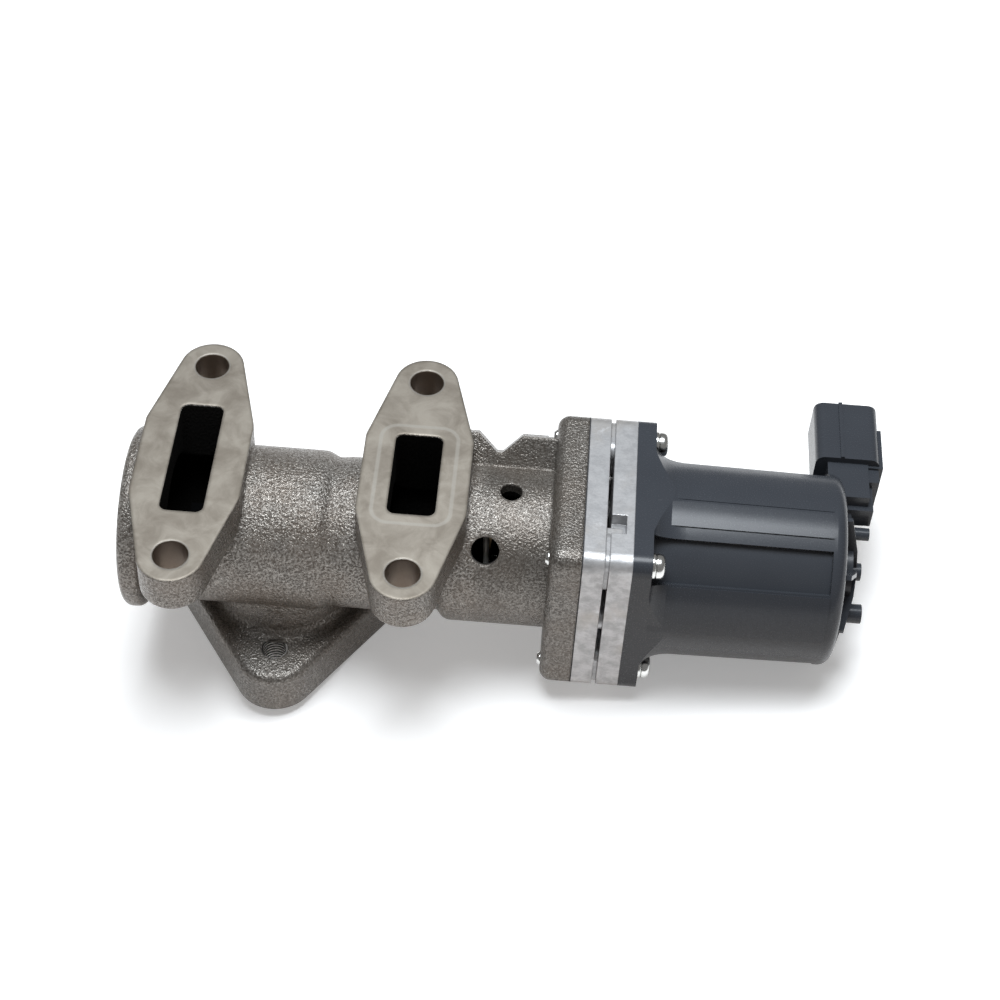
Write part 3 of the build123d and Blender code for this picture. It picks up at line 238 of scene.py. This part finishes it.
def cast_iron():
    """Sand casting with machined outlet faces and holes, and near-black painted shade in the passages and
    bores.
    """
    s = Shader("cast_iron")
    x, y, z = s.axes()
    normal = s.axes(s.add("ShaderNodeTexCoord").outputs["Normal"])

    # Where the casting is machined: the outlet faces and the walls of their bolt holes
    at_outlets = s.math("LESS_THAN", x, OUTLETS_END_X)
    face = s.math(
        "MULTIPLY",
        s.math("MULTIPLY", at_outlets, s.ramp(z, OUTLET_Z - 0.25 * MM, OUTLET_Z - 0.1 * MM)),
        s.ramp(normal[2], 0.9, 0.97),
    )
    hole = 0.0
    rims = 0.0
    for port_x in OUTLET_X:
        for side in (-1, 1):
            at = (port_x, side * OUTLET_BOLT_Y)
            hole = s.math("MAXIMUM", hole, ring_around(s, *at, 0, BOLT_HOLE_R + 0.2 * MM, 0.05 * MM))
            rim = ring_around(s, *at, BOLT_HOLE_R, BOLT_HOLE_R + 0.6 * MM, 0.2 * MM)
            rims = s.math("MAXIMUM", rims, rim)
    wall = s.math("MULTIPLY", hole, s.math("SUBTRACT", 1.0, face))

    # Imprint of a gasket round the second port
    straight_x, straight_y = (half - IMPRINT_CORNER for half in IMPRINT_HALVES)
    out_x = s.math("SUBTRACT", s.math("ABSOLUTE", s.math("SUBTRACT", x, OUTLET_X[1])), straight_x)
    out_y = s.math("SUBTRACT", s.math("ABSOLUTE", y), straight_y)
    corner_far = s.length(s.math("MAXIMUM", out_x, 0.0), s.math("MAXIMUM", out_y, 0.0))
    inner_far = s.math("MINIMUM", s.math("MAXIMUM", out_x, out_y), 0.0)
    outward = s.math("ADD", corner_far, inner_far)
    off_line = s.math("ABSOLUTE", s.math("SUBTRACT", outward, IMPRINT_CORNER))
    imprint = s.ramp(off_line, 0.35 * MM, 1.0 * MM, 1.0, 0.0)

    # Painted shade, near black: the passages below the outlet faces, and all bores round the valve axis
    from_axis = s.length(y, s.math("SUBTRACT", z, AXIS_Z))
    painted_inside_shade = s.ramp(from_axis, BORES_R, BORES_R + 0.4 * MM, 1.0, 0.0)
    painted_inside_shade = s.math("MULTIPLY", painted_inside_shade, s.math("GREATER_THAN", x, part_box("end_plug")[1][0]))
    for port_x, (half_width, half_length) in zip(OUTLET_X, PASSAGE_HALVES):
        across = s.math("ABSOLUTE", s.math("SUBTRACT", x, port_x))
        in_x = s.math("LESS_THAN", across, half_width)
        in_y = s.math("LESS_THAN", s.math("ABSOLUTE", y), half_length)
        below = s.ramp(z, OUTLET_Z - 0.8 * MM, OUTLET_Z - 0.2 * MM, 1.0, 0.0)
        above = s.math("GREATER_THAN", z, AXIS_Z)
        passage = s.math("MULTIPLY", s.math("MULTIPLY", in_x, in_y), s.math("MULTIPLY", below, above))
        painted_inside_shade = s.math("MAXIMUM", painted_inside_shade, passage)

    # Ridges of the threads in the inlet flange's holes: a bump, with painted highlights on the ridges and
    # painted shade between them
    threads = 0.0
    for bolt in INLET_BOLTS:
        threads = s.math("MAXIMUM", threads, ring_around(s, *bolt, 0, TAPPED_HOLE_R, 0.1 * MM))
    threads = s.math("MULTIPLY", threads, s.math("LESS_THAN", z, INLET_FLANGE_TOP))
    turn = s.math("ARCTAN2", s.math("SUBTRACT", y, INLET_BOLTS[0][1]), x)
    along = s.math("ADD", s.math("MULTIPLY", z, 2 * math.pi / THREAD_PITCH), turn)
    ridge_bump_and_painted_light = s.ramp(s.math("SINE", along), -0.8, 0.8)

    # Cast skin: dark and grainy, with silvery tops on the grains; both end flanges have less grain and are
    # darkened with painted shade
    grain = s.noise(0.80 * MM, detail=2, roughness=0.6)
    lumps = s.noise(2.2 * MM, detail=2)
    patches = s.noise(22 * MM, detail=3)
    tops = s.ramp(grain, 0.36, 0.66)
    skin = s.mix(tops, (0.100, 0.088, 0.076), (0.365, 0.345, 0.318))
    skin = s.mix(s.ramp(patches, 0.35, 0.7, 0.0, 0.35), skin, (0.190, 0.145, 0.110))
    flange_smoothing_and_shade = s.math("MAXIMUM", s.ramp(x, 68 * MM, 74 * MM, 0.0, 0.4), s.ramp(z, 17 * MM, 21 * MM, 0.4, 0.0))
    # Painted shade: the end flanges are made darker
    skin = s.mix(flange_smoothing_and_shade, skin, (0.075, 0.068, 0.060))
    skin_roughness = s.ramp(grain, 0.3, 0.7, 0.40, 0.23)

    # Machined metal: pale, with faint stains
    stains = s.noise(9 * MM, detail=5, roughness=0.6, distortion=0.6)
    fine = s.noise(0.35 * MM, detail=2)
    milled = s.mix(s.ramp(stains, 0.25, 0.75), (0.365, 0.330, 0.280), (0.225, 0.196, 0.160))
    milled = s.mix(s.math("MULTIPLY", imprint, 0.45), milled, (0.43, 0.41, 0.37))
    milled = s.mix(s.math("MULTIPLY", rims, 0.4), milled, (0.45, 0.43, 0.39))
    drilled = s.mix(stains, (0.23, 0.175, 0.13), (0.14, 0.105, 0.08))

    color = s.mix(wall, s.mix(face, skin, milled), drilled)
    # Painted highlights on the thread ridges and painted shade in the grooves
    color = s.mix(threads, color, s.mix(ridge_bump_and_painted_light, (0.03, 0.03, 0.03), (0.95, 0.92, 0.88)))
    # Painted shade: the passages and bores are made near black and rough
    color = s.mix(painted_inside_shade, color, (0.010, 0.009, 0.008))
    machined = s.math("MAXIMUM", s.math("MAXIMUM", face, wall), threads)
    roughness = s.blend(machined, skin_roughness, s.ramp(fine, 0.2, 0.8, 0.42, 0.56))
    height = s.math("ADD", s.math("MULTIPLY", grain, 0.9), s.math("MULTIPLY", lumps, 0.2))
    strength = s.blend(machined, s.blend(flange_smoothing_and_shade, 0.9, 0.2), 0.04)
    rough = s.bump(height, 0.70 * MM, strength=strength, normal=s.soft_edges(1.6 * MM))
    s.set(
        Base_Color=color,
        Metallic=s.blend(painted_inside_shade, s.blend(machined, 0.55, 0.60), 0.85),
        Roughness=s.blend(painted_inside_shade, roughness, 0.9),
        Normal=s.bump(s.math("MULTIPLY", ridge_bump_and_painted_light, threads), 0.5 * MM, normal=rough),
    )
    return s.material


def aluminium():
    """Cast plates with mottled, lightly milled edges."""
    s = Shader("cast_aluminium")
    streaks = s.noise(4 * MM, detail=6, roughness=0.7, vector=s.stretched(0.8, 1.0, 1.0))
    grain = s.noise(0.7 * MM, detail=3)
    stains = s.noise(13 * MM, detail=4)
    color = s.mix(s.ramp(streaks, 0.35, 0.65), (0.37, 0.37, 0.375), (0.55, 0.55, 0.555))
    color = s.mix(s.ramp(stains, 0.5, 0.75, 0.0, 0.5), color, (0.46, 0.425, 0.38))
    bright = s.math("MULTIPLY", s.ramp(streaks, 0.58, 0.70), s.ramp(stains, 0.45, 0.6))
    color = s.mix(bright, color, (0.70, 0.70, 0.71))
    s.set(
        Base_Color=color,
        Metallic=0.5,
        Roughness=s.ramp(streaks, 0.25, 0.75, 0.46, 0.30),
        Normal=s.bump(grain, 0.06 * MM, strength=0.7, normal=s.soft_edges(0.5 * MM)),
    )
    return s.material


def cover_plastic():
    """Satin blue-black moulding."""
    s = Shader("cover_plastic")
    cloud = s.noise(18 * MM, detail=3)
    fine = s.noise(0.4 * MM, detail=2)
    s.set(
        Base_Color=s.mix(cloud, (0.038, 0.042, 0.050), (0.048, 0.053, 0.062)),
        Roughness=s.ramp(fine, 0.2, 0.8, 0.22, 0.29),
        Specular_IOR_Level=0.30,
        Normal=s.bump(fine, 0.01 * MM, strength=0.2),
    )
    return s.material


def painted_shade_material():
    """Near-black painted shade on the valve's pieces that the exhaust gas passes."""
    s = Shader("inner_shade")
    flakes = s.noise(1.2 * MM, detail=4)
    s.set(
        Base_Color=s.mix(flakes, (0.003, 0.003, 0.003), (0.010, 0.010, 0.011)),
        Metallic=1.0,
        Roughness=0.95,
        Normal=s.bump(flakes, 0.1 * MM),
    )
    return s.material


MATERIALS = {
    "cast_iron": cast_iron,
    "cast_aluminium": aluminium,
    "cover_plastic": cover_plastic,
    "machined_steel": lambda: simple("machined_steel", (0.42, 0.42, 0.41), 1.0, 0.32),
    "stainless_steel": lambda: simple("stainless_steel", (0.46, 0.43, 0.39), 1.0, 0.35),
    "spring_steel": lambda: simple("spring_steel", (0.62, 0.60, 0.55), 0.5, 0.5),
    "sintered_bush": lambda: simple("sintered_bush", (0.36, 0.26, 0.15), 0.9, 0.5),
    "gasket": lambda: simple("gasket", (0.03, 0.03, 0.032), 0.0, 0.8),
    "seal_rubber": lambda: simple("seal_rubber", (0.02, 0.02, 0.02), 0.0, 0.6),
    "bearing_plastic": lambda: simple("bearing_plastic", (0.62, 0.58, 0.46), 0.0, 0.45),
    "magnet": lambda: simple("magnet", (0.06, 0.06, 0.065), 0.4, 0.5),
    "core_steel": lambda: simple("core_steel", (0.25, 0.26, 0.28), 1.0, 0.42),
    "insulator_plastic": lambda: simple("insulator_plastic", (0.70, 0.67, 0.58), 0.0, 0.45),
    "copper_winding": lambda: simple("copper_winding", (0.50, 0.20, 0.07), 0.8, 0.35, grain=0.5 * MM),
    "circuit_board": lambda: simple("circuit_board", (0.02, 0.14, 0.06), 0.0, 0.35),
    "contact_metal": lambda: simple("contact_metal", (0.62, 0.58, 0.48), 1.0, 0.25),
    "zinc_screws": lambda: simple("zinc_screws", (0.74, 0.74, 0.72), 1.0, 0.2, edge=0.25 * MM),
}
# Valve pieces coloured with near-black painted shade
SHADED_INNER_PIECES = (
    "left_valve_seat",
    "right_valve_seat",
    "left_poppet",
    "right_poppet",
    "poppet_spacer",
    "poppet_nut",
    "valve_stem",
    "stem_scraper",
)
made = {slot: build() for slot, build in MATERIALS.items()}
inner_shade = painted_shade_material()
slot_of = {p["node"]: p["material_slot"] for p in frame["record"]["subparts"]}
for name, node in frame["nodes"].items():
    node.data.materials.clear()
    node.data.materials.append(inner_shade if name in SHADED_INNER_PIECES else made[slot_of[name]])


# Pieces in place of the CAD's plain screws, washers and square spring wire
def finished(mesh, name, material_slot, body, *nodes):
    """Turns a bmesh into a shaded piece that rides on a body and stands for CAD nodes."""
    data = bpy.data.meshes.new(name)
    bmesh.ops.recalc_face_normals(mesh, faces=mesh.faces)
    mesh.to_mesh(data)
    mesh.free()
    piece = bpy.data.objects.new(name, data)
    bpy.context.collection.objects.link(piece)
    for face in data.polygons:
        face.use_smooth = True
    data.set_sharp_from_angle(angle=math.radians(32))
    data.materials.append(made[material_slot])
    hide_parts(*nodes)
    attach(piece, body)
    return piece


def lathe(mesh, profile, y, z, segments=40):
    """Adds a solid of revolution about a line along X. The profile is a list of (x, radius)."""
    rings = []
    for x, radius in profile:
        if radius == 0:
            rings.append([mesh.verts.new((x, y, z))] * segments)
            continue
        turns = [2 * math.pi * i / segments for i in range(segments)]
        rings.append([mesh.verts.new((x, y + radius * math.cos(t), z + radius * math.sin(t))) for t in turns])
    for low, high in zip(rings, rings[1:] + rings[:1] if profile[0][1] else rings[1:]):
        for i in range(segments):
            j = (i + 1) % segments
            corners = list(dict.fromkeys((low[i], low[j], high[j], high[i])))
            if len(corners) > 2:
                mesh.faces.new(corners)


def screw_places():
    """Middles (y, z) of the four screws, from the CAD's box of them."""
    low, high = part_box("cover_screws")
    for y in (low[1] + SCREW_HEAD_R, high[1] - SCREW_HEAD_R):
        for z in (low[2] + SCREW_HEAD_R, high[2] - SCREW_HEAD_R):
            yield y, z


def rounded(x0, x1, radius, edge, steps=5):
    """Profile of a disc from x0 to x1 whose far rim is rounded."""
    points = [(x0, radius - 0.2 * MM), (x0 + 0.2 * MM, radius), (x1 - edge, radius)]
    for step in range(1, steps + 1):
        t = math.radians(90 * step / steps)
        points.append((x1 - edge + edge * math.sin(t), radius - edge + edge * math.cos(t)))
    return points


def screws():
    low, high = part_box("cover_screws")
    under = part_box("screw_washers")[1][0]
    mesh = bmesh.new()
    for y, z in screw_places():
        profile = [(low[0], 0), (low[0], SHANK_R - 0.7 * MM), (low[0] + 0.9 * MM, SHANK_R), (under, SHANK_R)]
        profile += rounded(under, high[0], SCREW_HEAD_R, 1.9 * MM)
        profile += [(high[0], RECESS_R), (high[0] - 1.5 * MM, 0)]
        lathe(mesh, profile, y, z)
    finished(mesh, "cover_screws_domed", "zinc_screws", "housing", "cover_screws")


def washers():
    low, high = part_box("screw_washers")
    mesh = bmesh.new()
    for y, z in screw_places():
        profile = rounded(low[0], high[0], WASHER_R, 0.6 * MM) + [(high[0], SHANK_R), (low[0], SHANK_R)]
        lathe(mesh, profile, y, z)
    finished(mesh, "screw_washers_rounded", "zinc_screws", "housing", "screw_washers")


def spring():
    """Round wire coil, turned so that one coil crosses the middle of the larger vent."""
    low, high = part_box("return_spring")
    x0 = low[0] + WIRE_R
    length = high[0] - WIRE_R - x0
    along_x = Vector((1, 0, 0))
    mesh = bmesh.new()
    sections = []
    steps = int(SPRING_TURNS * STEPS_PER_TURN)
    for i in range(steps + 1):
        share = i / steps
        angle = math.radians(SPRING_START + 360 * SPRING_TURNS * share)
        outward = Vector((0, -math.sin(angle), math.cos(angle)))
        at = Vector((x0 + length * share, 0, AXIS_Z)) + SPRING_R * outward
        ring = []
        for k in range(WIRE_SIDES):
            t = 2 * math.pi * k / WIRE_SIDES
            ring.append(mesh.verts.new(at + WIRE_R * (math.cos(t) * outward + math.sin(t) * along_x)))
        sections.append(ring)
    for one, two in zip(sections, sections[1:]):
        for k in range(WIRE_SIDES):
            m = (k + 1) % WIRE_SIDES
            mesh.faces.new((one[k], one[m], two[m], two[k]))
    mesh.faces.new(sections[0])
    mesh.faces.new(sections[-1])
    piece = finished(mesh, "return_spring_round_wire", "spring_steel", "housing", "return_spring")
    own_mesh(piece)


screws()
washers()
spring()


# Floor and light
def floor():
    """Wide pale floor, tipped so that the part rests on it."""
    bpy.ops.mesh.primitive_plane_add(size=FLOOR_SIZE)
    plane = bpy.context.object
    plane.name = "floor"
    plane.location = (FLOOR_PIVOT_X, 0, 0)
    plane.rotation_euler = (0, -math.radians(FLOOR_TIP), 0)
    s = Shader("floor")
    path = s.add("ShaderNodeLightPath").outputs
    seen = s.math("MAXIMUM", path["Is Camera Ray"], path["Is Glossy Ray"])
    seen = s.math("MAXIMUM", seen, path["Is Transmission Ray"])
    cloud = s.noise(0.3)
    pale = s.mix(cloud, (0.92, 0.905, 0.89), (0.94, 0.925, 0.91))
    s.set(Base_Color=s.mix(seen, (0.46, 0.32, 0.23), pale), Roughness=0.9, Specular_IOR_Level=0.0)
    s.set(Emission_Color=(1, 1, 1, 1), Emission_Strength=s.math("MULTIPLY", seen, FLOOR_GLOW))
    plane.data.materials.append(s.material)


def area_light(name, at, to, size, power, color):
    """Soft rectangular light at one point, aimed at another."""
    data = bpy.data.lights.new(name, "AREA")
    data.shape = "RECTANGLE"
    data.size, data.size_y = size
    data.energy = power
    data.color = color
    lamp = bpy.data.objects.new(name, data)
    lamp.location = at
    lamp.rotation_euler = (Vector(to) - Vector(at)).to_track_quat("-Z", "Y").to_euler()
    bpy.context.collection.objects.link(lamp)


def lights():
    world = bpy.data.worlds.new("studio")
    world.use_nodes = True
    world.node_tree.nodes["Background"].inputs["Color"].default_value = (1.0, 0.99, 0.98, 1)
    world.node_tree.nodes["Background"].inputs["Strength"].default_value = WORLD_LIGHT
    bpy.context.scene.world = world
    area_light("key", KEY_AT, KEY_AIM, KEY_SIZE, KEY_POWER, KEY_COLOR)


def camera():
    """The photograph's camera, rolled about its own line of sight."""
    elevation = math.radians(CAMERA_ELEVATION)
    yaw = math.radians(CAMERA_YAW)
    roll = math.radians(CAMERA_ROLL)
    forward = Vector(
        (
            math.sin(yaw) * math.cos(elevation),
            math.cos(yaw) * math.cos(elevation),
            -math.sin(elevation),
        )
    )
    level = Vector((math.cos(yaw), -math.sin(yaw), 0))
    upward = level.cross(forward)
    right = math.cos(roll) * level + math.sin(roll) * upward
    up = -math.sin(roll) * level + math.cos(roll) * upward
    data = bpy.data.cameras.new("camera")
    data.sensor_width = SENSOR
    data.lens = LENS
    data.clip_start = 0.05
    eye = bpy.data.objects.new("camera", data)
    eye.matrix_world = Matrix.Translation(CAMERA_AT) @ Matrix((right, up, -forward)).transposed().to_4x4()
    bpy.context.collection.objects.link(eye)
    bpy.context.scene.camera = eye


floor()
lights()
camera()
bpy.context.scene.view_settings.view_transform = "Standard"


def write_sizes():
    """Imports json and does nothing else."""
    import json


write_sizes()
